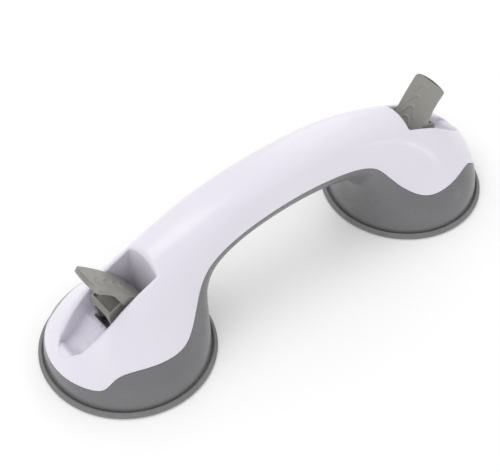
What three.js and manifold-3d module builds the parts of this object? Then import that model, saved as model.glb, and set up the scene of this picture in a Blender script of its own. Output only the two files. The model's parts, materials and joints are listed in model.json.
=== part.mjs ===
// Suction grab bar: an arched hand grip that bridges two suction cups.
// Millimetres, +Z up, X along the bar, origin on the floor under the middle of the grip.
// Two hollow shells, an upper and a lower one, are closed round the two cup mechanisms.
// In each end a finger lever turns on a steel pin through the cup's pull post. Its cam
// stands on a steel plate, so that closing the lever lifts the post and the cup's middle.

import * as THREE from "three";
import Module from "manifold-3d";
import { mergeVertices } from "three/addons/utils/BufferGeometryUtils.js";

const wasm = await Module();
wasm.setup();

// ---- driving dimensions -------------------------------------------------------------

const CUP_X = 100; // from the middle of the bar to each cup's axis
const CUP_R = 47.5; // outer radius of the rubber lip
const SKIRT_R = 44.4; // radius of the shell where it stands on the cup
const SKIRT_Z = 2.6; // height of the shell's lower edge
const GRIP_TOP_Z = 80; // crown of the arch
const GRIP_UNDER_Z = 49.8; // underside of the arch
const GRIP_HALF = 15.5; // half the width of the grip
const WALL = 2.4; // shell wall
const GAP = 0.3; // clearance between neighbours that touch on the real thing

const PIVOT_Z = 34.5; // lever pin, with the lever fully open
const OPEN_TO_SHUT = THREE.MathUtils.degToRad(72); // swing, until the blade meets its well's rim
const LIFT = 3.5; // how far that swing raises the post
const LEFT_LEVER = THREE.MathUtils.degToRad(10); // how far each lever is from fully open
const RIGHT_LEVER = 0;

const WELL_HALF = 11.8; // half the width of the lever's well
const WELL_BACK = -12.4; // its inner wall, measured outward from the cup's axis
const WELL_FLOOR_Z = 28;
const WELL_END = 39; // where its ramp runs out into the dome
const RAMP_START = 16.2;
const SLOT_BACK = -11; // the lever's slot in the well's floor
const SLOT_FRONT = 13.6;
const SLOT_HALF = 9.2;
const CAM_BOX_Z = 22.4; // floor of the box under the slot

const DECK_Z = 14.3; // plate across the inside of each skirt
const DECK_THICK = 2.5;
const SCREW_CIRCLE = 24;
const SCREW_ANGLES = [50, 130, 230, 310].map(THREE.MathUtils.degToRad);
const SCREW_NAMES = ["a", "b", "c", "d"];

const SKY = 130; // above everything, for cutting tools

// ---- materials ----------------------------------------------------------------------

const material = (color, roughness, metalness = 0) =>
  new THREE.MeshStandardMaterial({ color, roughness, metalness });

const whitePlastic = material(0xe0dce8, 0.25);
const greyPlastic = material(0x7a7a7c, 0.3);
const leverPlastic = material(0x93928e, 0.5);
const rubber = material(0x737473, 0.6);
const postPlastic = material(0xc9c9c4, 0.5);
const steel = material(0xb8babd, 0.35, 1);

// ---- helpers ------------------------------------------------------------------------

function toSolid(geometry) {
  geometry.deleteAttribute("normal");
  geometry.deleteAttribute("uv");
  const merged = mergeVertices(geometry, 1e-4);
  const vertProperties = Float32Array.from(merged.getAttribute("position").array);
  const triVerts = Uint32Array.from(merged.getIndex().array);
  return new wasm.Manifold(new wasm.Mesh({ numProp: 3, vertProperties, triVerts }));
}

function toGeometry(solid) {
  const { numProp, vertProperties, triVerts } = solid.getMesh();
  const positions = new Float32Array((vertProperties.length / numProp) * 3);
  for (let i = 0; i < positions.length / 3; i += 1) {
    for (let k = 0; k < 3; k += 1) {
      positions[3 * i + k] = vertProperties[numProp * i + k];
    }
  }
  const geometry = new THREE.BufferGeometry();
  geometry.setAttribute("position", new THREE.BufferAttribute(positions, 3));
  geometry.setIndex(new THREE.BufferAttribute(Uint32Array.from(triVerts), 1));
  geometry.computeVertexNormals();
  return geometry;
}

function named(name, solid, look) {
  const mesh = new THREE.Mesh(toGeometry(solid), look);
  mesh.name = name;
  return mesh;
}

function boxSolid([x0, x1], [y0, y1], [z0, z1]) {
  const geometry = new THREE.BoxGeometry(x1 - x0, y1 - y0, z1 - z0);
  geometry.translate((x0 + x1) / 2, (y0 + y1) / 2, (z0 + z1) / 2);
  return toSolid(geometry);
}

function uprightCylinder(radius, [z0, z1], x = 0, y = 0, sides = 32) {
  const geometry = new THREE.CylinderGeometry(radius, radius, z1 - z0, sides);
  geometry.rotateX(Math.PI / 2);
  geometry.translate(x, y, (z0 + z1) / 2);
  return toSolid(geometry);
}

// A cylinder along Y, centred on y = 0.
function crossCylinder(radius, length, x = 0, z = 0, sides = 20) {
  const geometry = new THREE.CylinderGeometry(radius, radius, length, sides);
  geometry.translate(x, 0, z);
  return toSolid(geometry);
}

// A side outline in X and Z, given thickness along Y and centred on y = 0.
function sidePrism(shape, width, curveSegments = 10) {
  const settings = { depth: width, bevelEnabled: false, curveSegments };
  const geometry = new THREE.ExtrudeGeometry(shape, settings);
  geometry.rotateX(Math.PI / 2);
  geometry.translate(0, width / 2, 0);
  return toSolid(geometry);
}

// A plan outline in X and Y, standing from z0 to z1.
function planPrism(shape, [z0, z1], curveSegments = 12) {
  const settings = { depth: z1 - z0, bevelEnabled: false, curveSegments };
  const geometry = new THREE.ExtrudeGeometry(shape, settings);
  geometry.translate(0, 0, z0);
  return toSolid(geometry);
}

function turned(profile, sides = 36) {
  const points = profile.map(([r, z]) => new THREE.Vector2(r, z));
  const geometry = new THREE.LatheGeometry(points, sides);
  geometry.rotateX(Math.PI / 2);
  return toSolid(geometry);
}

const toX = (side, outward) => side * (CUP_X + outward);

// ---- the outer form -----------------------------------------------------------------

// Half of the grab bar is a tube bent a quarter turn: it starts as the round foot of the
// skirt and ends as the grip's own section at mid-span. Each station is one flat section
// of that tube, across the line from its inner edge (towards the hand) to its outer one,
// and "half" is half its width. The two superellipse powers shape its inner and its outer
// side: 2 is an ellipse, and more is boxier.
const STATIONS = [
  { inner: [CUP_X - SKIRT_R, SKIRT_Z], outer: [CUP_X + SKIRT_R, SKIRT_Z], half: SKIRT_R, powers: [2, 2] },
  { inner: [55.6, 11], outer: [144, 12.5], half: 42.2, powers: [2, 2] },
  { inner: [55.6, 18.5], outer: [141.2, 22], half: 37, powers: [2.15, 2] },
  { inner: [55.2, 24.5], outer: [135, 31.2], half: 31, powers: [2.35, 2] },
  { inner: [54, 30], outer: [125, 41.5], half: 25.7, powers: [2.5, 2] },
  { inner: [51.4, 35.2], outer: [110.5, 53], half: 21.2, powers: [2.7, 1.92] },
  { inner: [46.6, 40.4], outer: [93, 62.3], half: 18.4, powers: [2.8, 1.92] },
  { inner: [39, 44.8], outer: [73, 69], half: 17, powers: [2.9, 2.3] },
  { inner: [28, 47.8], outer: [50, 75], half: 16.1, powers: [3, 2.8] },
  { inner: [14, 49.3], outer: [25, 78.8], half: 15.6, powers: [3, 3] },
  { inner: [0, GRIP_UNDER_Z], outer: [0, GRIP_TOP_Z], half: GRIP_HALF, powers: [3, 3] },
];
const SMOOTH = { steps: 2, points: 28 }; // sections per station, and points per section
const PLAIN = { steps: 1, points: 16 }; // for the shells' inner faces

function spline(values) {
  const points = values.map(([a, b]) => new THREE.Vector2(a, b));
  return new THREE.SplineCurve(points);
}

const innerLine = spline(STATIONS.map((s) => s.inner));
const outerLine = spline(STATIONS.map((s) => s.outer));
const halfLine = spline(STATIONS.map((s, i) => [i, s.half]));
const powersLine = spline(STATIONS.map((s) => s.powers));

// One section of the tube, t = 0 at the foot and 1 at mid-span, side = 1 right, -1 left.
function sectionRing(t, side, inset, points) {
  const inner = innerLine.getPoint(t);
  const outer = outerLine.getPoint(t);
  const { x: innerPower, y: outerPower } = powersLine.getPoint(t);
  const middle = inner.clone().add(outer).multiplyScalar(0.5);
  const along = outer.clone().sub(inner);
  const reach = along.length() / 2 - inset;
  const half = halfLine.getPoint(t).y - inset;
  along.normalize();
  const ring = [];
  for (let i = 0; i < points; i += 1) {
    const angle = (2 * Math.PI * i) / points;
    const square = Math.cos(angle) < 0 ? innerPower : outerPower;
    const power = (value) => Math.sign(value) * Math.abs(value) ** (2 / square);
    const lengthways = reach * power(Math.cos(angle));
    const x = side * (middle.x + along.x * lengthways);
    const z = middle.y + along.y * lengthways;
    ring.push(new THREE.Vector3(x, half * power(Math.sin(angle)), z));
  }
  return ring;
}

function loft(rings) {
  const positions = [];
  const index = [];
  const count = rings[0].length;
  rings.flat().forEach((p) => positions.push(p.x, p.y, p.z));
  for (let r = 0; r + 1 < rings.length; r += 1) {
    for (let i = 0; i < count; i += 1) {
      const a = r * count + i;
      const b = r * count + ((i + 1) % count);
      index.push(a, a + count, b, b, a + count, b + count);
    }
  }
  [rings[0], rings[rings.length - 1]].forEach((ring, end) => {
    const centre = ring.reduce((sum, p) => sum.add(p), new THREE.Vector3()).divideScalar(count);
    const hub = positions.length / 3;
    const first = end === 0 ? 0 : (rings.length - 1) * count;
    positions.push(centre.x, centre.y, centre.z);
    for (let i = 0; i < count; i += 1) {
      const a = first + i;
      const b = first + ((i + 1) % count);
      index.push(...(end === 0 ? [hub, a, b] : [hub, b, a]));
    }
  });
  const geometry = new THREE.BufferGeometry();
  geometry.setAttribute("position", new THREE.Float32BufferAttribute(positions, 3));
  geometry.setIndex(index);
  return geometry;
}

// The whole outer form, foot to foot. An inset form is smaller all round and runs on
// below both feet, so that taking it away leaves an open-bottomed shell.
function outerForm(inset, { steps, points }) {
  const last = (STATIONS.length - 1) * steps;
  const rings = [];
  for (let i = -last; i <= last; i += 1) {
    rings.push(sectionRing(1 - Math.abs(i) / last, Math.sign(i), inset, points));
  }
  if (inset > 0) {
    const drop = (ring) => ring.map((p) => new THREE.Vector3(p.x, p.y, p.z - inset));
    rings.unshift(drop(rings[0]));
    rings.push(drop(rings[rings.length - 1]));
  }
  return toSolid(loft(rings));
}

// ---- the parting line between the shells --------------------------------------------

// Outer end, step, flank of the dome, neck, and along the grip; outward of the cup's axis.
const PARTING = [
  [50, 14.5],
  [40, 14.8],
  [33, 16],
  [26, 21.5],
  [14, 23.5],
  [-4, 22.5],
  [-18, 25],
  [-30, 35.3],
  [-42, 49],
  [-60, 56.5],
  [-80, 59.5],
  [-CUP_X, 60.5],
];

// Everything above the parting line, moved up by "raise".
function aboveParting(raise) {
  const right = new THREE.SplineCurve(
    PARTING.map(([outward, z]) => new THREE.Vector2(toX(1, outward), z + raise))
  ).getPoints(3 * (PARTING.length - 1));
  const left = right.map((p) => new THREE.Vector2(-p.x, p.y));
  const shape = new THREE.Shape([
    ...left,
    ...right.reverse().slice(1),
    new THREE.Vector2(CUP_X + 50, SKY),
    new THREE.Vector2(-CUP_X - 50, SKY),
  ]);
  return sidePrism(shape, 2 * SKY);
}

// ---- the lever's well, in one end's own frame ---------------------------------------
// x runs outward from the cup's axis.

// Plan of the well: straight sides, square inner corners and a round outer end.
function wellPlan(grow) {
  const half = WELL_HALF + grow;
  const straightEnd = WELL_END - 27;
  const shape = new THREE.Shape();
  shape.moveTo(WELL_BACK - grow, -half);
  shape.lineTo(straightEnd, -half);
  shape.absellipse(straightEnd, 0, WELL_END + grow - straightEnd, half, -Math.PI / 2, Math.PI / 2);
  shape.lineTo(WELL_BACK - grow, half);
  shape.closePath();
  return shape;
}

// Side outline of the space over the well's floor and its ramp, lowered by "sink".
function wellSide(sink) {
  const shape = new THREE.Shape();
  const far = WELL_END + 12;
  shape.moveTo(WELL_BACK - 10, SKY);
  shape.lineTo(WELL_BACK - 10, WELL_FLOOR_Z - sink);
  shape.lineTo(RAMP_START, WELL_FLOOR_Z - sink);
  shape.lineTo(RAMP_START + 1, WELL_FLOOR_Z - 1.2 - sink);
  shape.quadraticCurveTo(30, 19.5 - sink, WELL_END - 2, 22 - sink);
  shape.lineTo(far, 32 - sink);
  shape.lineTo(far, SKY);
  shape.closePath();
  return shape;
}

function wellSpace(grow) {
  const plan = planPrism(wellPlan(grow), [0, SKY]);
  return plan.intersect(sidePrism(wellSide(grow), 4 * WELL_HALF));
}

// The box under the slot, whose floor carries the cam plate.
function camBox(grow) {
  const lengthways = [SLOT_BACK - grow, SLOT_FRONT + grow];
  const across = [-SLOT_HALF - grow, SLOT_HALF + grow];
  return boxSolid(lengthways, across, [CAM_BOX_Z - grow, WELL_FLOOR_Z + GAP]);
}

const screwPlaces = SCREW_ANGLES.map((angle) => ({
  x: SCREW_CIRCLE * Math.cos(angle),
  y: SCREW_CIRCLE * Math.sin(angle),
}));

// ---- shells -------------------------------------------------------------------------

const POST_HOLE_R = 6.5;
const DECK_HOLE_R = 14;
const BOSS_R = 3.8;
const SCREW_HOLE_R = 1.8;
const BOSS_HOLE_TOP = DECK_Z + DECK_THICK + 14;

// The end piece's copies for both ends of the bar, joined.
function bothEnds(makeEnd) {
  const right = makeEnd().translate([CUP_X, 0, 0]);
  const left = makeEnd().rotate([0, 0, 180]).translate([-CUP_X, 0, 0]);
  return right.add(left);
}

function wellWalls() {
  return wellSpace(WALL).add(camBox(WALL));
}

function wellHollow() {
  const postHole = uprightCylinder(POST_HOLE_R, [0, WELL_FLOOR_Z]);
  return wellSpace(0).add(camBox(0)).add(postHole);
}

function screwBosses(radius, span) {
  const [first, ...others] = screwPlaces.map(({ x, y }) => uprightCylinder(radius, span, x, y, 14));
  return others.reduce((all, one) => all.add(one), first);
}

function topShell(outer, inner, insideLower) {
  const above = aboveParting(GAP / 2);
  const skin = outer.subtract(inner).intersect(above);
  const deckTop = DECK_Z + DECK_THICK + GAP;
  const inside = bothEnds(() => wellWalls().add(screwBosses(BOSS_R, [deckTop, SKY])));
  const holes = bothEnds(() => wellHollow().add(screwBosses(SCREW_HOLE_R, [0, BOSS_HOLE_TOP])));
  const room = above.intersect(outer).add(insideLower);
  return skin.add(inside.intersect(room)).subtract(holes);
}

// The lower shell: both skirts, the underside of the arch, and a deck in each skirt.
function bottomShell(outer, inner, insideUpper) {
  const above = aboveParting(-GAP / 2);
  const skin = outer.subtract(inner).subtract(above);
  const deckSpan = [DECK_Z, DECK_Z + DECK_THICK];
  const deck = bothEnds(() => uprightCylinder(SKIRT_R, deckSpan, 0, 0, 48));
  const room = outer.subtract(above).add(insideUpper);
  const holes = bothEnds(() =>
    uprightCylinder(DECK_HOLE_R, [0, WELL_FLOOR_Z]).add(screwBosses(SCREW_HOLE_R, [0, WELL_FLOOR_Z]))
  );
  return skin.add(deck.intersect(room).subtract(holes));
}

// ---- cup and mechanism, in one end's own frame --------------------------------------

const POST_R = 4.2;
const PIN_R = 2;
const PIN_HOLE_R = PIN_R + GAP;
const CHEEK_HALF = 8.5; // half the width of the lever's body
const HOLLOW_HALF = 4.7; // half the space between its cheeks
const CAM_R = 10.2; // cam radius that meets the plate with the lever fully open
const SCREW_HEAD_R = 3.2;
const SCREW_HEAD = 2.2; // height of a screw's head
const DRIVE_SLOT = { long: 4, wide: 0.8, deep: 0.8 };

function suctionCup() {
  const lip = CUP_R;
  return turned([
    [0, 2],
    [20, 1.7],
    [34, 0.9],
    [40, 0],
    [lip - 1, 0],
    [lip - 0.2, 0.5],
    [lip, 1.4],
    [lip - 0.2, 2.3],
    [lip - 0.9, 2.6],
    [lip - 1.1, 3.3],
    [lip - 1.9, 3.4],
    [SKIRT_R + 0.5, 2.3],
    [41, SKIRT_Z - GAP],
    [39, 3.4],
    [16, 4.6],
    [12.4, 5.6],
    [11.6, 10.8],
    [10.8, 11.2],
    [POST_R + GAP, 11.2],
    [POST_R + GAP, 6.3],
    [8, 6.3],
    [8, 3.9],
    [0, 3.9],
  ]);
}

function pullPost(pinZ) {
  const stem = turned([[0, 4.2], [7.7, 4.2], [7.7, 6], [POST_R, 6], [POST_R, pinZ], [0, pinZ]], 24);
  const eye = crossCylinder(POST_R + 0.6, 2 * (HOLLOW_HALF - GAP), 0, pinZ);
  const hole = crossCylinder(PIN_HOLE_R, 4 * POST_R, 0, pinZ);
  return stem.add(eye).subtract(hole);
}

const camPlate = () =>
  boxSolid(
    [SLOT_BACK + GAP, SLOT_FRONT - GAP],
    [-SLOT_HALF + GAP, SLOT_HALF - GAP],
    [CAM_BOX_Z + GAP, PIVOT_Z - CAM_R - GAP]
  ).subtract(uprightCylinder(POST_HOLE_R - 1, [0, PIVOT_Z]));

// The lever's outlines have the pin at their origin. They are drawn as it stands when it
// is BUILT_AT from fully open.
const BUILT_AT = THREE.MathUtils.degToRad(10);

function bladeOutline() {
  const shape = new THREE.Shape();
  shape.moveTo(-9.4, 0);
  shape.quadraticCurveTo(-5, 8.5, 4, 18.2);
  shape.quadraticCurveTo(11, 26, 19, 33.2);
  shape.absarc(19.8, 32, 1.4, Math.PI * 0.65, -Math.PI / 3, true);
  shape.quadraticCurveTo(15.5, 27.6, 12.6, 24.2);
  shape.quadraticCurveTo(10, 20.5, 7.2, 13);
  shape.closePath();
  return shape;
}

// Body: jaw at the front, then the cam, whose radius grows as the lever closes.
function bodyOutline() {
  const shape = new THREE.Shape();
  const down = -Math.PI / 2 - BUILT_AT;
  const camSteps = 10;
  shape.moveTo(-9.4, 0);
  shape.quadraticCurveTo(-6, 8, 3, 16);
  shape.lineTo(6.8, 12.6);
  shape.lineTo(14.6, 9.7);
  shape.lineTo(15, 6.4);
  for (let i = camSteps; i >= 0; i -= 1) {
    const swing = (i / camSteps) * OPEN_TO_SHUT;
    const radius = CAM_R + (i / camSteps) * LIFT - GAP / 2;
    shape.lineTo(radius * Math.cos(down + swing), radius * Math.sin(down + swing));
  }
  shape.absarc(0, 0, CAM_R - GAP / 2, down, -Math.PI, true);
  shape.closePath();
  return shape;
}

// The hollow between the cheeks, which the post swings through.
function hollowOutline() {
  const shape = new THREE.Shape();
  shape.moveTo(-8.5, -15);
  shape.lineTo(20, -15);
  shape.lineTo(20, 5.4);
  shape.lineTo(6, 9.6);
  shape.lineTo(-2.6, 8.4);
  shape.lineTo(-6.4, 1.5);
  shape.lineTo(-6.4, -3);
  shape.closePath();
  return shape;
}

const BLADE_HALF = 10.4;

function lever() {
  const blade = sidePrism(bladeOutline(), 2 * BLADE_HALF);
  const body = sidePrism(bodyOutline(), 2 * CHEEK_HALF);
  const hollow = sidePrism(hollowOutline(), 2 * HOLLOW_HALF);
  const pinHole = crossCylinder(PIN_HOLE_R, 4 * CHEEK_HALF);
  return blade.add(body).subtract(hollow).subtract(pinHole);
}

const leverPin = () => crossCylinder(PIN_R, 2 * CHEEK_HALF);

// A screw put in from below: its head bears on the deck, and it runs up into a boss.
function shellScrew({ x, y }) {
  const headTop = DECK_Z - GAP;
  const headBottom = headTop - SCREW_HEAD;
  const slotTop = headBottom + DRIVE_SLOT.deep;
  const head = uprightCylinder(SCREW_HEAD_R, [headBottom, headTop], x, y, 16);
  const shank = uprightCylinder(SCREW_HOLE_R - GAP, [headTop - 0.5, BOSS_HOLE_TOP - 1], x, y, 10);
  const driveSlot = boxSolid(
    [x - DRIVE_SLOT.long / 2, x + DRIVE_SLOT.long / 2],
    [y - DRIVE_SLOT.wide / 2, y + DRIVE_SLOT.wide / 2],
    [headBottom - 1, slotTop]
  );
  return head.add(shank).subtract(driveSlot);
}

// One end's cup and mechanism, with its lever turned "openBy" from fully open.
function endAssembly(end, openBy) {
  const group = new THREE.Group();
  const pinZ = PIVOT_Z + (LIFT * openBy) / OPEN_TO_SHUT;
  const leverMesh = named(`${end}_lever`, lever(), leverPlastic);
  leverMesh.rotation.y = openBy - BUILT_AT;
  leverMesh.position.z = pinZ;
  const pinMesh = named(`${end}_lever_pin`, leverPin(), steel);
  pinMesh.position.z = pinZ;
  group.add(
    named(`${end}_suction_cup`, suctionCup(), rubber),
    named(`${end}_pull_post`, pullPost(pinZ), postPlastic),
    named(`${end}_cam_plate`, camPlate(), steel),
    leverMesh,
    pinMesh
  );
  screwPlaces.forEach((place, i) => {
    group.add(named(`${end}_shell_screw_${SCREW_NAMES[i]}`, shellScrew(place), steel));
  });
  return group;
}

// ---- the whole object ---------------------------------------------------------------

const outer = outerForm(0, SMOOTH);
const inner = outerForm(WALL, PLAIN);
const clearInside = outerForm(WALL + GAP, PLAIN);

const rightEnd = endAssembly("right", RIGHT_LEVER);
rightEnd.position.x = CUP_X;

const leftEnd = endAssembly("left", LEFT_LEVER);
leftEnd.position.x = -CUP_X;
leftEnd.rotation.z = Math.PI;

const grabBar = new THREE.Group();
grabBar.add(
  named("top_shell", topShell(outer, inner, clearInside), whitePlastic),
  named("bottom_shell", bottomShell(outer, inner, clearInside), greyPlastic),
  leftEnd,
  rightEnd
);

export default grabBar;
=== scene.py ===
"""Suction grab bar: the finished looks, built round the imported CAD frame.

Shapes are worked out in millimetres and turned into metres where a mesh is made.
"""

import json
import math

import bmesh
import bpy
import numpy as np
from mathutils import Matrix, Vector
from mathutils.bvhtree import BVHTree


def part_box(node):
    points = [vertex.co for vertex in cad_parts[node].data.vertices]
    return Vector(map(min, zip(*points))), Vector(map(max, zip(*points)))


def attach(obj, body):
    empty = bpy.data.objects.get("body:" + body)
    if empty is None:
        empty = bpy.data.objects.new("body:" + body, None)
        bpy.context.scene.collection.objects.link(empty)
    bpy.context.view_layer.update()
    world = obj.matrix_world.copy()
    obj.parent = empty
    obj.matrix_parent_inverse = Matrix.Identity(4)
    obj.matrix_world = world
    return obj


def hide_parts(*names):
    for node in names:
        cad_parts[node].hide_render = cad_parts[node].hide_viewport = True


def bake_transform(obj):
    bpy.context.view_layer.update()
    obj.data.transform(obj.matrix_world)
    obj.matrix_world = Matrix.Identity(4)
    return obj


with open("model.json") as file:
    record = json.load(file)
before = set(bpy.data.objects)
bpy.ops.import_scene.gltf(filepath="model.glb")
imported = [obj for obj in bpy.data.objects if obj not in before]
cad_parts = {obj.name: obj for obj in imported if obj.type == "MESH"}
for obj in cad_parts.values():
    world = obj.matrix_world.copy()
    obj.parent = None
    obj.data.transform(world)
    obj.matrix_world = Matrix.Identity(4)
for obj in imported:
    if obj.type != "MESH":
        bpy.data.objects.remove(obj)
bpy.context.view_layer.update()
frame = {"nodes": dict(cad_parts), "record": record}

MM = 0.001
ENDS = {"right": 1, "left": -1}


def box_mm(node):
    """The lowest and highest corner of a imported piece."""
    low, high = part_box(node)
    return np.array(low) / MM, np.array(high) / MM


# ---- driving dimensions, in millimetres ---------------------------------------------

CUP_LOW, CUP_HIGH = box_mm("right_suction_cup")
CUP_X = (CUP_LOW[0] + CUP_HIGH[0]) / 2
CUP_R = (CUP_HIGH[0] - CUP_LOW[0]) / 2
GRIP_TOP_Z = box_mm("top_shell")[1][2]
PIVOT_Z = {end: sum(box_mm(f"{end}_lever_pin"))[2] / 2 for end in ENDS}

SKIRT_R = 44.4
SKIRT_Z = 2.6
GRIP_UNDER_Z = 49.8
GRIP_HALF = 15.5
WALL = 2.4
GAP = 0.3
LIFT = 3.5
OPEN_PIVOT_Z = 34.5  # the pin's height with its lever fully open
OPEN_TO_SHUT = math.radians(72)
OPEN_BY = {end: (PIVOT_Z[end] - OPEN_PIVOT_Z) / LIFT * OPEN_TO_SHUT for end in ENDS}

WELL_HALF = 11.8
WELL_BACK = -12.4
WELL_FLOOR_Z = 28
WELL_END = 39
WELL_ROUND_LENGTH = 27
WELL_STRAIGHT_END = WELL_END - WELL_ROUND_LENGTH
RAMP_START = 16.2
SLOT_BACK = -11
SLOT_FRONT = 13.6
SLOT_HALF = 9.2
SLOT_CORNER = 1.2
CAM_BOX_Z = 22.4

DECK_Z = 14.3
DECK_THICK = 2.5
DECK_HOLE_R = 14
POST_HOLE_R = 6.5
POST_R = 4.2
FLANGE_R = 7.7
FLANGE_LOW_Z = 4.2
FLANGE_TOP_Z = 6
PIN_R = 2
CHEEK_HALF = 8.5
HOLLOW_HALF = 4.7
CAM_R = 10.2
BLADE_HALF = 10.4
BUILT_AT = math.radians(10)  # how far the lever's outline stands from fully open

QUARTER = math.pi / 2
SKY = 130  # a height above everything


# ---- curves ---------------------------------------------------------------------------


def smooth_curve(values):
    """A curve with no kinks through values, one apart, as a function of place along them."""
    y = np.array(values, float).reshape(len(values), -1)
    n = len(y)
    system = np.diag(np.full(n, 4.0)) + np.diag(np.ones(n - 1), 1) + np.diag(np.ones(n - 1), -1)
    system[0, :2] = [2, 1]
    system[-1, -2:] = [1, 2]
    rise = np.empty_like(y)
    rise[1:-1] = 3 * (y[2:] - y[:-2])
    rise[0] = 3 * (y[1] - y[0])
    rise[-1] = 3 * (y[-1] - y[-2])
    slope = np.linalg.solve(system, rise)

    def at(place):
        i = min(int(place), n - 2)
        t = place - i
        before = (2 * t**3 - 3 * t**2 + 1) * y[i]
        after = (3 * t**2 - 2 * t**3) * y[i + 1]
        leaving = (t**3 - 2 * t**2 + t) * slope[i]
        arriving = (t**3 - t**2) * slope[i + 1]
        return before + after + leaving + arriving

    return at


def bezier(start, pull, end, count):
    """Points of a quadratic curve, without its last one."""
    t = np.linspace(0, 1, count, endpoint=False)[:, None]
    start, pull, end = (np.array(p, float) for p in (start, pull, end))
    return (1 - t) ** 2 * start + 2 * t * (1 - t) * pull + t**2 * end


def arc(centre, radius, start, end, count):
    """Points of a round arc between two angles."""
    angles = np.linspace(start, end, count)
    return np.stack([centre[0] + radius * np.cos(angles), centre[1] + radius * np.sin(angles)], 1)


# ---- mesh helpers ---------------------------------------------------------------------


def mesh_object(name, points, faces):
    """An object in the scene from points in millimetres."""
    mesh = bpy.data.meshes.new(name)
    mesh.from_pydata((np.asarray(points) * MM).tolist(), [], faces)
    obj = bpy.data.objects.new(name, mesh)
    bpy.context.scene.collection.objects.link(obj)
    clean(obj, 1e-4)
    return obj


def clean(obj, merge_mm):
    """Merges points that are closer than merge_mm and turns every face outward."""
    work = bmesh.new()
    work.from_mesh(obj.data)
    bmesh.ops.remove_doubles(work, verts=work.verts, dist=merge_mm * MM)
    bmesh.ops.recalc_face_normals(work, faces=work.faces)
    if work.calc_volume(signed=True) < 0:
        bmesh.ops.reverse_faces(work, faces=work.faces)
    work.to_mesh(obj.data)
    work.free()


def loft(name, rings, caps=True):
    """A closed body through rings of the same number of points."""
    rings = np.asarray(rings, float)
    rows, count = rings.shape[:2]
    points = rings.reshape(-1, 3)
    faces = []
    for r in range(rows - 1):
        for i in range(count):
            j = (i + 1) % count
            faces.append((r * count + i, r * count + j, (r + 1) * count + j, (r + 1) * count + i))
    if caps:
        faces.append(tuple(range(count)))
        faces.append(tuple(range((rows - 1) * count, rows * count)))
    return mesh_object(name, points, faces)


def turned(name, profile, x=0.0, sides=192):
    """A profile of (radius, z) from axis to axis, turned about an upright axis at x."""
    angles = np.linspace(0, 2 * math.pi, sides, endpoint=False)
    rings = [
        np.stack([x + r * np.cos(angles), r * np.sin(angles), np.full(sides, z)], 1)
        for r, z in profile
    ]
    return loft(name, rings, caps=False)


def prism(name, outline, half):
    """An outline in x and z, given thickness along y and centred on y = 0."""
    outline = np.asarray(outline, float)
    rings = [np.insert(outline, 1, y, axis=1) for y in (-half, half)]
    return loft(name, rings)


def cross_rod(name, radius, half, z=0.0, chamfer=0.0, sides=64):
    """A rod along y, with chamfered ends."""
    angles = np.linspace(0, 2 * math.pi, sides, endpoint=False)
    stages = [
        (-half, radius - chamfer),
        (chamfer - half, radius),
        (half - chamfer, radius),
        (half, radius - chamfer),
    ]
    rings = [
        np.stack([r * np.cos(angles), np.full(sides, y), z + r * np.sin(angles)], 1)
        for y, r in stages
    ]
    return loft(name, rings)


def apply_modifiers(obj):
    """Makes what the modifiers do part of the mesh."""
    depsgraph = bpy.context.evaluated_depsgraph_get()
    done = bpy.data.meshes.new_from_object(obj.evaluated_get(depsgraph))
    obj.modifiers.clear()
    obj.data = done


def combine(obj, other, operation):
    """Joins, cuts or intersects obj with another body, which is used up."""
    modifier = obj.modifiers.new("combine", "BOOLEAN")
    modifier.object = other
    modifier.operation = operation
    modifier.solver = "EXACT"
    apply_modifiers(obj)
    bpy.data.objects.remove(other)
    return obj


def join(objects):
    """One object from several that don't touch."""
    first = objects[0]
    with bpy.context.temp_override(active_object=first, selected_editable_objects=objects):
        bpy.ops.object.join()
    return first


def place_at_end(obj, end):
    """Moves a piece made in one end's own frame, where x is outward, to its end."""
    turn = Matrix.Rotation(0 if end == "right" else math.pi, 4, "Z")
    obj.data.transform(Matrix.Translation((ENDS[end] * CUP_X * MM, 0, 0)) @ turn)
    return obj


def soften(obj, width, angle=35, segments=2, merge=0.03):
    """Rounds the sharp edges and smooths the rest."""
    clean(obj, merge)
    bevel = obj.modifiers.new("edges", "BEVEL")
    bevel.width = width * MM
    bevel.segments = segments
    bevel.limit_method = "ANGLE"
    bevel.angle_limit = math.radians(angle)
    bevel.miter_outer = "MITER_ARC"
    bevel.harden_normals = False
    apply_modifiers(obj)
    smooth(obj)
    return obj


def smooth(obj, angle=40):
    """Smooth shading, with sharp edges where faces meet at more than the angle."""
    obj.data.shade_smooth()
    obj.data.set_sharp_from_angle(angle=math.radians(angle))
    obj.modifiers.new("normals", "WEIGHTED_NORMAL").keep_sharp = True
    apply_modifiers(obj)


# ---- the outer form -------------------------------------------------------------------

# Half of the bar is a tube bent a quarter turn, from the skirt's round foot to the grip's
# section at mid-span: inner edge (x, z), outer edge (x, z), half width, and the powers of
# the two half superellipses.
STATIONS = [
    ((CUP_X - SKIRT_R, SKIRT_Z), (CUP_X + SKIRT_R, SKIRT_Z), SKIRT_R, (2, 2)),
    ((55.6, 11), (144, 12.5), 42.2, (2, 2)),
    ((55.6, 18.5), (141.2, 22), 37, (2.15, 2)),
    ((55.2, 24.5), (135, 31.2), 31, (2.35, 2)),
    ((54, 30), (125, 41.5), 25.7, (2.5, 2)),
    ((51.4, 35.2), (110.5, 53), 21.2, (2.7, 1.92)),
    ((46.6, 40.4), (93, 62.3), 18.4, (2.8, 1.92)),
    ((39, 44.8), (73, 69), 17, (2.9, 2.3)),
    ((28, 47.8), (50, 75), 16.1, (3, 2.8)),
    ((14, 49.3), (25, 78.8), 15.6, (3, 3)),
    ((0, GRIP_UNDER_Z), (0, GRIP_TOP_Z), GRIP_HALF, (3, 3)),
]


def whole_bar(half_values, odd):
    """The values from the left foot to the right one. Odd ones change sign at mid-span."""
    mirrored = [[-v[0] if odd else v[0], *v[1:]] for v in half_values]
    return mirrored + list(half_values[-2::-1])


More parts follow.
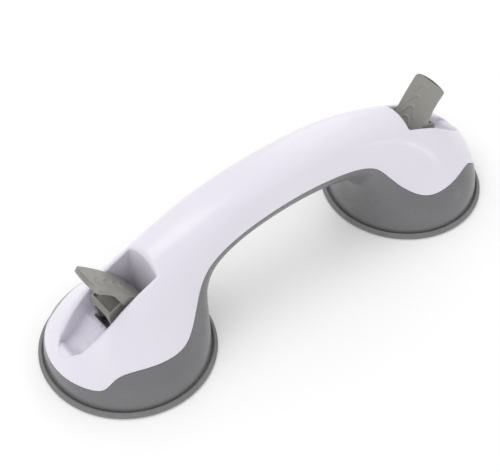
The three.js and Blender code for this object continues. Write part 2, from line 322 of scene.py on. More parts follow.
INNER_LINE = smooth_curve(whole_bar([s[0] for s in STATIONS], odd=True))
OUTER_LINE = smooth_curve(whole_bar([s[1] for s in STATIONS], odd=True))
HALF_LINE = smooth_curve(whole_bar([(s[2],) for s in STATIONS], odd=False))
POWERS_LINE = smooth_curve(whole_bar([s[3] for s in STATIONS], odd=False))
PLACES = 2 * (len(STATIONS) - 1)

FINE = {"steps": 12, "count": 144}
COARSE = {"steps": 2, "count": 48}


def section_ring(place, inset, count):
    """One section of the bar: half superellipses towards its inner and its outer line."""
    inner, outer = INNER_LINE(place), OUTER_LINE(place)
    inner_power, outer_power = POWERS_LINE(place)
    middle = (inner + outer) / 2
    along = outer - inner
    length = np.linalg.norm(along)
    along /= length
    reach = length / 2 - inset
    half = HALF_LINE(place)[0] - inset
    angles = np.linspace(0, 2 * math.pi, count, endpoint=False)
    cosine, sine = np.cos(angles), np.sin(angles)
    exponent = 2 / np.where(cosine < 0, inner_power, outer_power)
    lengthways = reach * np.sign(cosine) * np.abs(cosine) ** exponent
    across = half * np.sign(sine) * np.abs(sine) ** exponent
    x = middle[0] + along[0] * lengthways
    z = middle[1] + along[1] * lengthways
    return np.stack([x, across, z], 1)


def outer_form(name, inset, steps, count):
    """The whole bar as one body, or the room inside a wall as thick as inset."""
    places = np.linspace(0, PLACES, PLACES * steps + 1)
    rings = [section_ring(place, inset, count) for place in places]
    if inset > 0:
        drop = np.array([0, 0, -inset])
        rings = [rings[0] + drop, *rings, rings[-1] + drop]
    return loft(name, rings)


# The parting line between the shells, outward of the cup's axis and up.
PARTING = [
    (50, 14.5),
    (40, 14.8),
    (33, 16),
    (26, 21.5),
    (14, 23.5),
    (-4, 22.5),
    (-18, 25),
    (-30, 35.3),
    (-42, 49),
    (-60, 56.5),
    (-80, 59.5),
    (-CUP_X, 60.5),
]
PARTING_STEPS = 12
BEYOND_CUP = 60


def above_parting(raised):
    """Everything above the parting line, after the line is raised."""
    half = [(CUP_X + outward, z) for outward, z in PARTING]
    whole = whole_bar(half, odd=True)
    line = smooth_curve(whole)
    places = np.linspace(0, len(whole) - 1, PARTING_STEPS * len(whole))
    points = [line(place) + [0, raised] for place in places]
    far = CUP_X + BEYOND_CUP
    corners = [(far, points[-1][1]), (far, SKY), (-far, SKY), (-far, points[0][1])]
    return prism("above parting", [*points, *corners], SKY)


# ---- the lever's well, in one end's own frame -----------------------------------------

PLAN_CORNER = 0.8
PLAN_SPACING = 0.6
WELL_OVERRUN = 1.5  # how far the cutter reaches past the end of the well

RAMP_STEP = 1  # the floor drops over this length before the ramp's curve
RAMP_DROP = 1.2
RAMP_PULL = (30, 18)
RAMP_END = (34.4, 24.1)
RAMP_LIP_R = 3.5
RAMP_LIP_FALL = math.radians(61)

# How far the rounding of the rim spreads over the outer surface, by place along the well.
RIM_PLACES = (10, 30)
RIM_REACHES = (2.6, 4.5)
RIM_BESIDE = 1.5  # where the slope of the outer surface is measured
RIM_STEEPEST = math.radians(62)
RIM_PAST = math.radians(8)  # how far the rounding turns past the outer surface
RIM_RUN = 8  # how far the cutter runs on from there
FLOOR_ROUND = 0.6
LEAST_ROOM = 0.1  # between the floor and the top of the walls

# The floor's rings, from the middle line to the edge, closer together near the edge.
FLOOR_SHARES = (0, 0.15, 0.3, 0.45, 0.6, 0.7, 0.78, 0.84, 0.88, 0.91, 0.94, 0.97)
FLOOR_ROUND_STEPS = 4
RIM_STEPS = 8


def well_plan(grow, corner, spacing, overrun=0):
    """Plan points and their outward directions, at an even spacing."""
    half = WELL_HALF + grow
    back = WELL_BACK - grow
    reach = WELL_END + grow + overrun - WELL_STRAIGHT_END
    round_end = arc((0, 0), 1, -QUARTER, QUARTER, 120) * [reach, half]
    points = [
        (back, 0),
        *arc((back + corner, corner - half), corner, 2 * QUARTER, 3 * QUARTER, 12),
        *np.array([WELL_STRAIGHT_END, 0]) + round_end,
        *arc((back + corner, half - corner), corner, QUARTER, 2 * QUARTER, 12),
    ]
    return even_loop(np.array(points), spacing)


def even_loop(points, spacing):
    """Evenly spaced points of a loop. A loop that starts on its middle line stays symmetric."""
    closed = np.vstack([points, points[:1]])
    lengths = np.concatenate([[0], np.cumsum(np.linalg.norm(np.diff(closed, axis=0), axis=1))])
    count = 2 * round(lengths[-1] / spacing / 2)
    at = np.linspace(0, lengths[-1], count, endpoint=False)
    loop = np.stack([np.interp(at, lengths, closed[:, k]) for k in (0, 1)], 1)
    along = np.roll(loop, -1, axis=0) - np.roll(loop, 1, axis=0)
    outward = np.stack([along[:, 1], -along[:, 0]], 1)
    return loop, outward / np.linalg.norm(outward, axis=1)[:, None]


def well_floor(x):
    """Height of the well's floor, of its ramp, and of the lip where the ramp ends."""
    if x <= RAMP_START:
        return WELL_FLOOR_Z
    foot_x, foot_z = RAMP_START + RAMP_STEP, WELL_FLOOR_Z - RAMP_DROP
    if x <= foot_x:
        return WELL_FLOOR_Z - (x - RAMP_START) / RAMP_STEP * RAMP_DROP
    pull_x, pull_z = RAMP_PULL
    end_x, end_z = RAMP_END
    if x >= end_x:
        return lip_height(x, math.atan2(end_z - pull_z, end_x - pull_x))
    a = foot_x - 2 * pull_x + end_x
    b = 2 * (pull_x - foot_x)
    t = (math.sqrt(b * b - 4 * a * (foot_x - x)) - b) / (2 * a)
    return (1 - t) ** 2 * foot_z + 2 * t * (1 - t) * pull_z + t * t * end_z


def lip_height(x, slope):
    """A round lip from the end of the ramp, and a straight fall clear of the outer form."""
    hub_x = RAMP_END[0] + RAMP_LIP_R * math.sin(slope)
    hub_z = RAMP_END[1] - RAMP_LIP_R * math.cos(slope)
    leave = hub_x + RAMP_LIP_R * math.sin(RAMP_LIP_FALL)
    if x <= leave:
        return hub_z + math.sqrt(RAMP_LIP_R**2 - (x - hub_x) ** 2)
    return hub_z + RAMP_LIP_R * math.cos(RAMP_LIP_FALL) - (x - leave) * math.tan(RAMP_LIP_FALL)


def surface_height(form):
    """The height of a form's top over a place in the right end's frame."""
    tree = BVHTree.FromObject(form, bpy.context.evaluated_depsgraph_get())

    def height(x, y):
        hit = tree.ray_cast(Vector(((CUP_X + x) * MM, y * MM, SKY * MM)), Vector((0, 0, -1)))[0]
        return hit.z / MM if hit else 0.0

    return height


def well_cutter(height):
    """The well as a body to cut away, flared at its top so that it leaves a rounded rim."""
    plan, outward = well_plan(0, PLAN_CORNER, PLAN_SPACING, WELL_OVERRUN)
    count = len(plan)
    floor = np.array([well_floor(x) for x, _ in plan])
    top = np.array([height(x, y) for x, y in plan])
    beside = np.array([height(x, y) for x, y in plan + RIM_BESIDE * outward])
    tilt = np.minimum(np.arctan2(top - beside, RIM_BESIDE), RIM_STEEPEST)
    top = np.maximum(top, floor + LEAST_ROOM)
    room = top - floor
    depth = (1 + np.sin(tilt)) / np.cos(tilt)
    reach = np.interp(plan[:, 0], RIM_PLACES, RIM_REACHES)
    radius = np.minimum(reach, 0.5 * room) / depth

    def ring(offset, z):
        return np.column_stack([plan + np.reshape(offset, (-1, 1)) * outward, z * np.ones(count)])

    rings = []
    spine = np.clip(plan[:, 0], WELL_BACK + WELL_HALF / 2, WELL_STRAIGHT_END)
    centre = np.column_stack([spine, np.zeros(count)])
    edge = plan - FLOOR_ROUND * outward
    for share in FLOOR_SHARES:
        flat = centre + share * (edge - centre)
        rings.append(np.column_stack([flat, [well_floor(x) for x, _ in flat]]))
    for step in range(FLOOR_ROUND_STEPS + 1):
        angle = QUARTER * step / FLOOR_ROUND_STEPS
        rise = FLOOR_ROUND * (1 - math.cos(angle))
        z = np.minimum(floor + rise, floor + room / 2)
        rings.append(ring(FLOOR_ROUND * (math.sin(angle) - 1), z))
    end_angle = QUARTER - tilt + RIM_PAST
    hub = top - radius * depth
    for step in range(RIM_STEPS + 1):
        angle = math.pi + (end_angle - math.pi) * step / RIM_STEPS
        rings.append(ring(radius * (1 + np.cos(angle)), hub + radius * np.sin(angle)))
    last = radius * (1 + np.cos(end_angle)) + RIM_RUN * np.sin(end_angle)
    rings.append(ring(last, hub + radius * np.sin(end_angle) - RIM_RUN * np.cos(end_angle)))
    rings.append(ring(last, SKY))
    rings.append(np.column_stack([centre, np.full(count, SKY)]))
    return loft("well", rings, caps=False)


def slot_cutter():
    """The slot in the well's floor, and the box under it."""
    corners = [
        (SLOT_FRONT, SLOT_HALF),
        (SLOT_BACK, SLOT_HALF),
        (SLOT_BACK, -SLOT_HALF),
        (SLOT_FRONT, -SLOT_HALF),
    ]
    outline = []
    for turn, (x, y) in enumerate(corners):
        hub = (x - math.copysign(SLOT_CORNER, x), y - math.copysign(SLOT_CORNER, y))
        outline.extend(arc(hub, SLOT_CORNER, turn * QUARTER, (turn + 1) * QUARTER, 7))
    heights = (CAM_BOX_Z, WELL_FLOOR_Z + 1)
    rings = [np.column_stack([outline, np.full(len(outline), z)]) for z in heights]
    return loft("slot", rings)


def well_walls():
    """What the well leaves standing inside the shell."""
    plan, _ = well_plan(grow=WALL, corner=2, spacing=3)
    floor = np.array([well_floor(x) - WALL for x, _ in plan])
    bottom = np.minimum(floor, CAM_BOX_Z - WALL)
    rings = [np.column_stack([plan, z * np.ones(len(plan))]) for z in (bottom, SKY)]
    return loft("well walls", rings)


# ---- shells ---------------------------------------------------------------------------


def both_ends(make):
    """A body made for one end's own frame, once for each end."""
    return join([place_at_end(make(), end) for end in ENDS])


def top_shell():
    """The white shell, with both wells, their slots and the holes for the posts."""
    hollow = outer_form("hollow", WALL, **COARSE)
    combine(hollow, both_ends(well_walls), "DIFFERENCE")
    shell = outer_form("top_shell_skin", 0, **FINE)
    height = surface_height(shell)
    combine(shell, hollow, "DIFFERENCE")
    combine(shell, above_parting(GAP / 2), "INTERSECT")
    combine(shell, both_ends(lambda: well_cutter(height)), "DIFFERENCE")
    combine(shell, both_ends(slot_cutter), "DIFFERENCE")
    post_hole = [(0, 0), (POST_HOLE_R, 0), (POST_HOLE_R, WELL_FLOOR_Z), (0, WELL_FLOOR_Z)]
    combine(shell, both_ends(lambda: turned("post hole", post_hole, sides=64)), "DIFFERENCE")
    return soften(shell, 0.3)


def deck():
    """The deck across a skirt, which reaches into its wall."""
    bottom, top = DECK_Z, DECK_Z + DECK_THICK
    reach = SKIRT_R + 2
    profile = [
        (DECK_HOLE_R, bottom),
        (reach, bottom),
        (reach, top),
        (DECK_HOLE_R, top),
        (DECK_HOLE_R, bottom),
    ]
    return turned("deck", profile, sides=96)


def bottom_shell():
    """The grey shell, with a deck across each skirt."""
    hollow = outer_form("hollow", WALL, **COARSE)
    combine(hollow, both_ends(deck), "DIFFERENCE")
    shell = outer_form("bottom_shell_skin", 0, **FINE)
    combine(shell, hollow, "DIFFERENCE")
    combine(shell, above_parting(-GAP / 2), "DIFFERENCE")
    return soften(shell, 0.3)


# ---- cups and mechanism, in one end's own frame ---------------------------------------

CUP_MIDDLE_R = 38
CUP_LIP_PROFILE = [
    (CUP_MIDDLE_R, 0.9),
    (39, 0.2),
    (40, 0),
    (CUP_R - 1.2, 0),
    (CUP_R - 0.35, 0.4),
    (CUP_R, 1.2),
    (CUP_R - 0.15, 2.05),
    (CUP_R - 0.75, 2.5),
    (CUP_R - 1.05, 2.65),
    (CUP_R - 1.1, 3.05),
    (CUP_R - 1.45, 3.4),
    (CUP_R - 2, 3.4),
    (CUP_R - 2.45, 3.05),
    (SKIRT_R + 0.45, 2.3),
    (41, 2.25),
    (CUP_MIDDLE_R, 2.4),
    (CUP_MIDDLE_R, 0.9),
]


def cup_lip():
    """The cup's thick rim, round the foot of the skirt."""
    return soften(turned("suction_cup_lip", CUP_LIP_PROFILE, sides=256), 0.12, angle=25)


def cup_middle():
    """The thin middle of the cup, with its raised boss round the post."""
    bore = POST_R + GAP
    pocket = FLANGE_R + GAP
    pocket_low, pocket_top = FLANGE_LOW_Z - GAP, FLANGE_TOP_Z + GAP
    rim = CUP_MIDDLE_R - 0.1
    profile = [
        (0, 2),
        (10, 1.95),
        (20, 1.7),
        (30, 1.25),
        (rim, 0.9),
        (rim, 2.4),
        (34, 3.3),
        (26, 3.9),
        (16, 4.6),
        (12.4, 5.6),
        (11.9, 8.2),
        (11.6, 10.8),
        (10.8, 11.2),
        (bore + 0.4, 11.2),
        (bore, 10.8),
        (bore, pocket_top),
        (pocket, pocket_top),
        (pocket, pocket_low),
        (0, pocket_low),
    ]
    return soften(turned("suction_cup_middle", profile, sides=192), 0.2)


def pull_post(pin_z):
    """A post with a flange that sits in the cup and an eye for the lever's pin."""
    chamfer = 0.3
    profile = [
        (0, FLANGE_LOW_Z),
        (FLANGE_R - chamfer, FLANGE_LOW_Z),
        (FLANGE_R, FLANGE_LOW_Z + chamfer),
        (FLANGE_R, FLANGE_TOP_Z - chamfer),
        (FLANGE_R - chamfer, FLANGE_TOP_Z),
        (POST_R, FLANGE_TOP_Z),
        (POST_R, pin_z),
        (0, pin_z),
    ]
    post = turned("pull_post_turned", profile, sides=64)
    combine(post, cross_rod("eye", POST_R + 0.6, HOLLOW_HALF - GAP, pin_z), "UNION")
    combine(post, cross_rod("hole", PIN_R + GAP, 3 * POST_R, pin_z), "DIFFERENCE")
    return soften(post, 0.3)


# ---- the lever, with its pin at the origin, drawn as it stands BUILT_AT from fully open --

JAW_BACK = np.array([7.3, 13])
JAW_FRONT = np.array([14.6, 9.7])
JAW_LIP = 1.0
DISH_DEPTH = {"back": 6, "front": 1.8}
DISH_UNDER_BLADE = 3.5  # how far the dish reaches back under the blade
TUNNEL_START = 7
TUNNEL_HALF = 5.8
TUNNEL_TOP = 5.9
TUNNEL_ARCH = 0.6 * TUNNEL_HALF
BELOW_LEVER = -15
BEYOND_LEVER = 20

BLADE_ROWS = 90
BLADE_TOP_POINTS = 130
BLADE_UNDER_POINTS = 30
TIP_CORNER = 1.9
TIP_CROWN = 1.5
RIDGES = 4
RIDGE_FIRST = 22.6
RIDGE_STEP = 4.8
RIDGE_RISE = 0.6
RIDGE_WIDTH = 0.5
RIDGE_SHRINK = 0.85  # each ridge's height as a share of the one before
RIDGE_HALF = 5.5  # the ridges end this far from their middle
RIDGE_FADE = 2  # and fade out over this width
ARCH_MIDDLE = 1.6
ARCH_HEIGHT = 3.8
ARCH_WIDTH = 2.9


def blade_lines(count):
    """The blade's upper and under lines in side view, from its root to its tip."""
    shoulder, tip = (4, 18.2), (19.9, 33.6)
    upper = np.vstack([
        bezier((-9.4, 0), (-5, 8.5), shoulder, count),
        bezier(shoulder, (11, 26), tip, count),
        [tip],
    ])
    knee, waist, tip = (7.2, 13), (12.6, 24.2), (21.2, 31.5)
    under = np.vstack([
        bezier((-9.2, -0.2), (0, 7), knee, count // 2),
        bezier(knee, (10, 20.5), waist, count - count // 2),
        bezier(waist, (15.5, 27.6), tip, count),
        [tip],
    ])
    return upper, under


def ridge_height(length, across):
    """Grip ridges on the blade: nested arches, by place along its middle line and across it."""
    sideways = across - ARCH_MIDDLE
    arch = ARCH_HEIGHT * np.exp(-np.abs(sideways / ARCH_WIDTH) ** 3)
    height = np.zeros_like(across)
    for k in range(RIDGES):
        distance = length - RIDGE_FIRST - RIDGE_STEP * k - arch
        height += RIDGE_RISE * RIDGE_SHRINK**k * np.exp(-((distance / RIDGE_WIDTH) ** 2))
    fade = np.clip((RIDGE_HALF - np.abs(sideways)) / RIDGE_FADE, 0, 1)
    return height * fade


def blade():
    """The blade, as sections from its root to its crowned tip."""
    upper, under = blade_lines(BLADE_ROWS)
    middle = (upper + under) / 2
    travelled = np.concatenate([[0], np.cumsum(np.linalg.norm(np.diff(middle, axis=0), axis=1))])
    total = travelled[-1]
    top_share = np.linspace(1, -1, BLADE_TOP_POINTS)
    share = np.concatenate([top_share, np.linspace(-1, 1, BLADE_UNDER_POINTS)])
    on_top = np.arange(len(share)) < BLADE_TOP_POINTS
    rings = []
    for i, length in enumerate(travelled):
        near_tip = max(0.0, 1 - (total - length) / TIP_CORNER)
        half = BLADE_HALF - TIP_CORNER * (1 - math.sqrt(1 - near_tip**2))
        across = half * share
        ahead = middle[min(i + 1, len(middle) - 1)] - middle[max(i - 1, 0)]
        ahead /= np.linalg.norm(ahead)
        up = np.array([-ahead[1], ahead[0]])
        crown = TIP_CROWN * (1 - (across / BLADE_HALF) ** 2) * (length / total) ** 3
        ridge = np.where(on_top, ridge_height(length, across), 0)
        edge = np.where(on_top[:, None], upper[i], under[i])
        xz = edge + np.outer(crown, ahead) + np.outer(ridge, up)
        rings.append(np.column_stack([xz[:, 0], across, xz[:, 1]]))
    return loft("lever_blade", rings)


def body_outline():
    """Side view of the lever's body: its back, the jaw, and the cam that lifts the pin."""
    down = -QUARTER - BUILT_AT
    swing = np.linspace(OPEN_TO_SHUT, 0, 40)
    radius = CAM_R + swing / OPEN_TO_SHUT * LIFT - GAP / 2
    cam = np.stack([radius * np.cos(down + swing), radius * np.sin(down + swing)], 1)
    return np.vstack([
        bezier((-9.4, 0), (-6, 8), (3, 16), 16),
        [(3, 16), JAW_BACK, JAW_FRONT, (15, 6.4)],
        cam,
        arc((0, 0), CAM_R - GAP / 2, down, -math.pi, 24)[1:],
    ])


def hollow_outline():
    """Side view of the room for the post between the cheeks."""
    return [
        (-8.5, BELOW_LEVER),
        (BEYOND_LEVER, BELOW_LEVER),
        (BEYOND_LEVER, 5),
        (6, 6.2),
        (-2.6, 6.4),
        (-5.6, 2.5),
        (-6.4, -3),
    ]


def jaw_dish():
    """The dish in the top of the jaw, deepest under the blade, inside a lip."""
    along = (JAW_FRONT - JAW_BACK) / np.linalg.norm(JAW_FRONT - JAW_BACK)
    up = np.array([-along[1], along[0]])
    start = JAW_BACK - DISH_UNDER_BLADE * along
    end = JAW_FRONT - JAW_LIP * along
    clear = 2 * up
    outline = [
        start - DISH_DEPTH["back"] * up,
        end - DISH_DEPTH["front"] * up,
        end + clear,
        start + clear,
    ]
    return prism("dish", outline, CHEEK_HALF - JAW_LIP)


def jaw_tunnel():
    """The arched opening in the front of the jaw."""
    arch = arc((0, 0), 1, 0, math.pi, 24) * [TUNNEL_HALF, TUNNEL_ARCH]
    arch += [0, TUNNEL_TOP - TUNNEL_ARCH]
    outline = np.vstack([[(TUNNEL_HALF, BELOW_LEVER)], arch, [(-TUNNEL_HALF, BELOW_LEVER)]])
    rings = [np.insert(outline, 0, x, axis=1) for x in (TUNNEL_START, BEYOND_LEVER)]
    return loft("tunnel", rings)


def lever():
    """The whole lever: cheeks and cam, jaw, blade, and the hole for its pin."""
    body = prism("lever_body", body_outline(), CHEEK_HALF)
    combine(body, jaw_dish(), "DIFFERENCE")
    combine(body, jaw_tunnel(), "DIFFERENCE")
    combine(body, blade(), "UNION")
    combine(body, prism("hollow", hollow_outline(), HOLLOW_HALF), "DIFFERENCE")
    combine(body, cross_rod("hole", PIN_R + GAP, 2 * CHEEK_HALF), "DIFFERENCE")
    return soften(body, 0.3)


def lever_pin():
    """The steel pin, with chamfered ends."""
    pin = cross_rod("lever_pin_turned", PIN_R, CHEEK_HALF, chamfer=0.35)
    smooth(pin)
    return pin


# ---- materials ------------------------------------------------------------------------

# Pointiness where edge wear or the painted shade in inner corners starts and where it is full; 0.5 is a
# flat surface.
EDGE_POINTINESS = (0.56, 0.66)
SHADED_CORNER_POINTINESS = (0.44, 0.34)


class Surface:
    """A Principled material, and short ways to add nodes to it."""

    def __init__(self, name, roughness, metallic=0.0):
        self.material = bpy.data.materials.new(name)
        self.material.use_nodes = True
        self.tree = self.material.node_tree
        self.shader = self.tree.nodes["Principled BSDF"]
        self.shader.inputs["Roughness"].default_value = roughness
        self.shader.inputs["Metallic"].default_value = metallic
        self.place = self.tree.nodes.new("ShaderNodeTexCoord").outputs["Object"]

    def link(self, output, target):
        self.tree.links.new(output, target)

    def stretched(self, scale):
        """Places on the object, scaled along each axis, for a grain that runs one way."""
        node = self.tree.nodes.new("ShaderNodeMapping")
        node.inputs["Scale"].default_value = scale
        self.link(self.place, node.inputs["Vector"])
        return node.outputs["Vector"]

    def noise(self, size_mm, detail=3.0, place=None):
        """Soft noise with spots of about the given size."""
        node = self.tree.nodes.new("ShaderNodeTexNoise")
        node.inputs["Scale"].default_value = 1000 / size_mm
        node.inputs["Detail"].default_value = detail
        self.link(place or self.place, node.inputs["Vector"])
        return node.outputs["Fac"]

    def spread(self, value, low, high, to_low, to_high):
        """Maps a value that runs from low to high onto to_low to to_high."""
        node = self.tree.nodes.new("ShaderNodeMapRange")
        settings = {"From Min": low, "From Max": high, "To Min": to_low, "To Max": to_high}
        for name, number in settings.items():
            node.inputs[name].default_value = number
        self.link(value, node.inputs["Value"])
        return node.outputs["Result"]

    def mix(self, share, first, second):
        """Mixes two colours, each a tuple or another node's output."""
        node = self.tree.nodes.new("ShaderNodeMix")
        node.data_type = "RGBA"
        self.link(share, node.inputs["Factor"])
        for socket, colour in ((node.inputs[6], first), (node.inputs[7], second)):
            if isinstance(colour, tuple):
                socket.default_value = (*colour, 1)
            else:
                self.link(colour, socket)
        return node.outputs[2]

    def compute(self, operation, first, second):
        """A Math node on two values, each a number or another node's output."""
        node = self.tree.nodes.new("ShaderNodeMath")
        node.operation = operation
        for socket, value in zip(node.inputs, (first, second)):
            if isinstance(value, (int, float)):
                socket.default_value = value
            else:
                self.link(value, socket)
        return node.outputs["Value"]

    def edges(self):
        """1 on worn outer edges, 0 elsewhere."""
        geometry = self.tree.nodes.new("ShaderNodeNewGeometry")
        worn = self.spread(geometry.outputs["Pointiness"], *EDGE_POINTINESS, 0, 1)
        return self.compute("MULTIPLY", worn, self.spread(self.noise(6), 0.35, 0.65, 0.3, 1))

    def corners(self):
        """1 in inner corners, where shade is painted."""
        geometry = self.tree.nodes.new("ShaderNodeNewGeometry")
        return self.spread(geometry.outputs["Pointiness"], *SHADED_CORNER_POINTINESS, 0, 1)

    def bump(self, height, distance_mm, strength=1.0):
        node = self.tree.nodes.new("ShaderNodeBump")
        node.inputs["Distance"].default_value = distance_mm * MM
        node.inputs["Strength"].default_value = strength
        self.link(height, node.inputs["Height"])
        self.link(node.outputs["Normal"], self.shader.inputs["Normal"])

    def colour(self, output):
        self.link(output, self.shader.inputs["Base Color"])

    def roughness(self, output):
        self.link(output, self.shader.inputs["Roughness"])


def moulded_plastic(name, base, shade, worn, corner_shade, gloss, grain_mm, grain_depth):
    """Moulded plastic: slow colour drift, worn edges, painted shade in inner corners, fine grain."""
    look = Surface(name, gloss[0])
    drift = look.spread(look.noise(45, 4), 0.3, 0.7, 0, 1)
    colour = look.mix(drift, base, shade)
    colour = look.mix(look.compute("MULTIPLY", look.edges(), 0.6), colour, worn)
    # Inner corners get a darker colour mixed in: painted shade.
    colour = look.mix(look.compute("MULTIPLY", look.corners(), 0.3), colour, corner_shade)
    look.colour(colour)
    smudges = look.compute("ADD", look.noise(28, 5), look.compute("MULTIPLY", look.noise(3.5, 4), 0.35))
    look.roughness(look.spread(smudges, 0.4, 0.95, gloss[0], gloss[1]))
    look.bump(look.noise(grain_mm, 2), grain_depth)
    return look


def white_plastic():
    look = moulded_plastic(
        "white_plastic",
        base=(0.815, 0.785, 0.87),
        shade=(0.79, 0.765, 0.855),
        worn=(0.86, 0.845, 0.90),
        # The next colour is the painted shade for inner corners.
        corner_shade=(0.60, 0.57, 0.66),
        gloss=(0.17, 0.27),
        grain_mm=1.6,
        grain_depth=0.012,
    )
    look.shader.inputs["Subsurface Weight"].default_value = 0.12
    look.shader.inputs["Subsurface Radius"].default_value = (1, 0.95, 1)
    look.shader.inputs["Subsurface Scale"].default_value = 0.0015
    return look.material


def grey_plastic():
    look = moulded_plastic(
        "grey_plastic",
        base=(0.180, 0.180, 0.186),
        shade=(0.162, 0.162, 0.168),
        worn=(0.24, 0.24, 0.245),
        # The next colour is the painted shade for inner corners.
        corner_shade=(0.13, 0.13, 0.13),
        gloss=(0.2, 0.32),
        grain_mm=1.4,
        grain_depth=0.015,
    )
    return look.material


def lever_plastic():
    look = moulded_plastic(
        "lever_plastic",
        base=(0.285, 0.28, 0.255),
        shade=(0.255, 0.25, 0.228),
        worn=(0.40, 0.395, 0.365),
        # The next colour is the painted shade for inner corners.
        corner_shade=(0.14, 0.137, 0.12),
        gloss=(0.36, 0.5),
        grain_mm=0.5,
        grain_depth=0.03,
    )
    return look.material


def post_plastic():
    look = moulded_plastic(
        "post_plastic",
        base=(0.33, 0.33, 0.32),
        shade=(0.30, 0.30, 0.29),
        worn=(0.42, 0.42, 0.41),
        # The next colour is the painted shade for inner corners.
        corner_shade=(0.2, 0.2, 0.19),
        gloss=(0.4, 0.55),
        grain_mm=0.7,
        grain_depth=0.02,
    )
    return look.material


def rubber():
    """Satin rubber with a pale bloom in patches, and painted shade in inner corners."""
    look = Surface("rubber", 0.5)
    drift = look.spread(look.noise(20, 4), 0.3, 0.7, 0, 1)
    colour = look.mix(drift, (0.175, 0.18, 0.176), (0.205, 0.21, 0.205))
    bloom = look.spread(look.noise(4, 6), 0.55, 0.75, 0, 0.5)
    colour = look.mix(bloom, colour, (0.26, 0.265, 0.26))
    # Inner corners darkened to near black: painted shade.
    colour = look.mix(look.corners(), colour, (0.1, 0.1, 0.1))
    look.colour(colour)
    look.roughness(look.spread(look.noise(7, 5), 0.3, 0.7, 0.4, 0.62))
    look.bump(look.noise(0.6, 3), 0.03)
    return look.material


def steel():
    """Bright steel, brushed one way."""
    look = Surface("steel", 0.3, metallic=1.0)
    brushed = look.noise(0.8, 4, look.stretched((1, 0.06, 1)))
    colour = look.mix(look.noise(9, 4), (0.60, 0.60, 0.61), (0.50, 0.50, 0.50))
    look.colour(colour)
    look.roughness(look.spread(brushed, 0.3, 0.7, 0.22, 0.42))
    look.bump(brushed, 0.01)
    return look.material


MATERIALS = {
    "white_plastic": white_plastic(),
    "grey_plastic": grey_plastic(),
    "lever_plastic": lever_plastic(),
    "post_plastic": post_plastic(),
    "rubber": rubber(),
    "steel": steel(),
}


def wear(obj, slot):
    """Gives a piece the material of its slot and no other."""
    obj.data.materials.clear()
    obj.data.materials.append(MATERIALS[slot])


# ---- putting the pieces on the frame --------------------------------------------------


def show(obj, name, slot, body, *stands_for):
    """Puts a finished piece on its body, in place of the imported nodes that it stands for."""
    obj.name = name
    wear(obj, slot)
    if body:
        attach(obj, body)
    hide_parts(*stands_for)


def build_shells():
    show(top_shell(), "top_shell_look", "white_plastic", "root", "top_shell")
    show(bottom_shell(), "bottom_shell_look", "grey_plastic", "root", "bottom_shell")


def build_cup(end):
    cup = f"{end}_suction_cup"
    lip = place_at_end(cup_lip(), end)
    show(lip, f"{end}_cup_lip", "rubber", "root", cup)
    middle = place_at_end(cup_middle(), end)
    show(middle, f"{end}_cup_middle", "rubber", None, cup)
    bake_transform(middle)


def build_mechanism(end):
    post = place_at_end(pull_post(PIVOT_Z[end]), end)
    show(post, f"{end}_post_look", "post_plastic", f"{end}_post", f"{end}_pull_post")
    pin = lever_pin()
    arm = lever()
    arm.data.transform(Matrix.Rotation(OPEN_BY[end] - BUILT_AT, 4, "Y"))
    for piece in (pin, arm):
        piece.data.transform(Matrix.Translation((0, 0, PIVOT_Z[end] * MM)))
        place_at_end(piece, end)
    show(pin, f"{end}_pin_look", "steel", f"{end}_post", f"{end}_lever_pin")
    show(arm, f"{end}_lever_look", "lever_plastic", f"{end}_lever", f"{end}_lever")


def dress_frame_nodes():
    """Gives the CAD nodes that are still shown their own material."""
    slots = {part["node"]: part["material_slot"] for part in frame["record"]["subparts"]}
    for name, node in frame["nodes"].items():
        if not node.hide_render:
            wear(node, slots[name])


build_shells()
for end in ENDS:
    build_cup(end)
    build_mechanism(end)
dress_frame_nodes()


# ---- floor, light and camera ----------------------------------------------------------


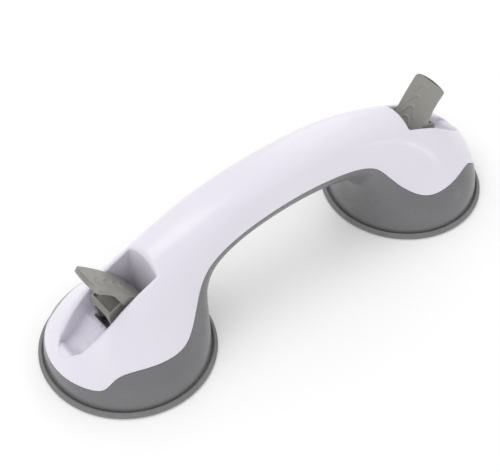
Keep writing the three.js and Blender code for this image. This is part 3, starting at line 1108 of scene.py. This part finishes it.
def add_floor():
    points = [(-3000, -3000, 0), (3000, -3000, 0), (3000, 3000, 0), (-3000, 3000, 0)]
    floor = mesh_object("floor", points, [(0, 1, 2, 3)])
    look = Surface("floor_paper", 0.9)
    look.colour(look.mix(look.noise(60, 3), (0.93, 0.93, 0.93), (0.95, 0.95, 0.95)))
    look.shader.inputs["Specular IOR Level"].default_value = 0.0
    look.shader.inputs["Emission Color"].default_value = (1, 1, 1, 1)
    look.shader.inputs["Emission Strength"].default_value = 0.09
    floor.data.materials.append(look.material)


def add_light(name, place, size, power, target=(0, 0, 40)):
    light = bpy.data.lights.new(name, "AREA")
    light.shape = "RECTANGLE"
    light.size, light.size_y = (s * MM for s in size)
    light.energy = power
    obj = bpy.data.objects.new(name, light)
    obj.location = Vector(place) * MM
    direction = (Vector(target) - Vector(place)).normalized()
    obj.rotation_mode = "QUATERNION"
    obj.rotation_quaternion = direction.to_track_quat("-Z", "Y")
    bpy.context.scene.collection.objects.link(obj)


def add_lights():
    world = bpy.data.worlds.new("studio")
    bpy.context.scene.world = world
    world.use_nodes = True
    background = world.node_tree.nodes["Background"]
    background.inputs["Color"].default_value = (1, 1, 1, 1)
    background.inputs["Strength"].default_value = 0.8
    add_light("overhead", (-250, 250, 1100), (800, 500), 2.6)
    add_light("front left", (-900, -500, 700), (500, 500), 0.8)
    add_light("back right", (700, 700, 500), (400, 700), 0.8)
    add_light("low strip", (730, -640, 38), (40, 60), 0.07, (120, 0, 40))


def add_camera():
    azimuth, elevation, roll = (math.radians(a) for a in (-40.34, 46.61, 1.30))
    distance = 720.1
    aim = (12.77, -13.23)
    back = Vector((
        math.sin(azimuth) * math.cos(elevation),
        -math.cos(azimuth) * math.cos(elevation),
        math.sin(elevation),
    ))
    level = Vector((math.cos(azimuth), math.sin(azimuth), 0))
    upright = back.cross(level)
    right = level * math.cos(roll) + upright * math.sin(roll)
    up = upright * math.cos(roll) - level * math.sin(roll)
    camera = bpy.data.cameras.new("camera")
    camera.lens = 91.6
    camera.sensor_width = 36
    obj = bpy.data.objects.new("camera", camera)
    axes = Matrix((right, up, back)).transposed().to_4x4()
    obj.matrix_world = Matrix.Translation((back * distance - right * aim[0] - up * aim[1]) * MM) @ axes
    bpy.context.scene.collection.objects.link(obj)
    bpy.context.scene.camera = obj


add_floor()
add_lights()
add_camera()
bpy.context.scene.view_settings.view_transform = "Standard"
